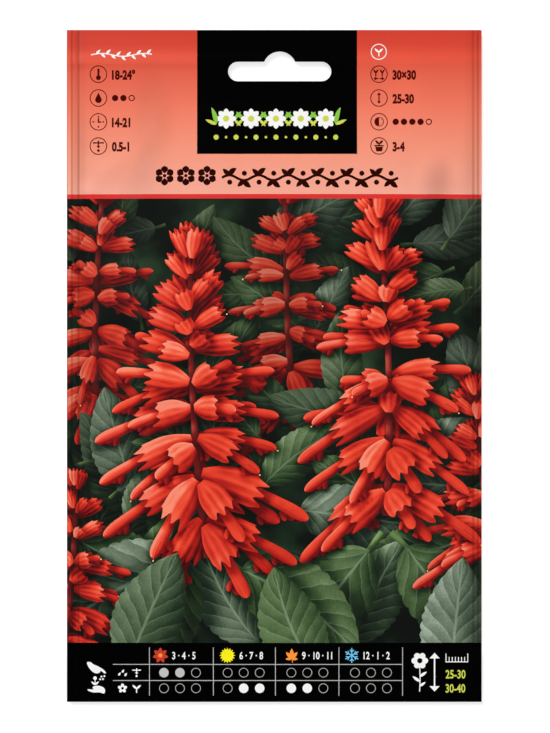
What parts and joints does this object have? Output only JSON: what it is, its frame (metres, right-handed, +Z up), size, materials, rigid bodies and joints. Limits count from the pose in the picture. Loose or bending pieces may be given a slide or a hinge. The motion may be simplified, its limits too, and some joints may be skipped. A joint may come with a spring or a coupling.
{
  "type": "seed packet",
  "caption": "Flat sealed seed packet with a printed front and back, a hanging slot through its sealed header, and loose seeds inside.",
  "frame": {"origin": "on the surface that the packet lies on, under the middle of its two sheets", "axes": "+X to the right of the print, +Y towards the top edge with the hanging slot, +Z up out of the printed front"},
  "size_m": [0.1, 0.162, 0.0039],
  "materials": {
    "printed_front": "satin",
    "printed_back": "satin",
    "seed_coat": "matte"
  },
  "bodies": {
    "root": {"front_panel": "printed_front", "back_panel": "printed_back", "seed_01": "seed_coat", "seed_02": "seed_coat", "seed_03": "seed_coat", "seed_04": "seed_coat", "seed_05": "seed_coat", "seed_06": "seed_coat", "seed_07": "seed_coat", "seed_08": "seed_coat", "seed_09": "seed_coat", "seed_10": "seed_coat", "seed_11": "seed_coat", "seed_12": "seed_coat", "seed_13": "seed_coat", "seed_14": "seed_coat", "seed_15": "seed_coat", "seed_16": "seed_coat", "seed_17": "seed_coat", "seed_18": "seed_coat", "seed_19": "seed_coat", "seed_20": "seed_coat", "seed_21": "seed_coat", "seed_22": "seed_coat", "seed_23": "seed_coat", "seed_24": "seed_coat", "seed_25": "seed_coat", "seed_26": "seed_coat", "seed_27": "seed_coat", "seed_28": "seed_coat", "seed_29": "seed_coat", "seed_30": "seed_coat", "seed_31": "seed_coat", "seed_32": "seed_coat", "seed_33": "seed_coat", "seed_34": "seed_coat", "seed_35": "seed_coat", "seed_36": "seed_coat", "seed_37": "seed_coat", "seed_38": "seed_coat", "seed_39": "seed_coat", "seed_40": "seed_coat", "seed_41": "seed_coat", "seed_42": "seed_coat", "seed_43": "seed_coat", "seed_44": "seed_coat", "seed_45": "seed_coat", "seed_46": "seed_coat"}
  },
  "joints": []
}
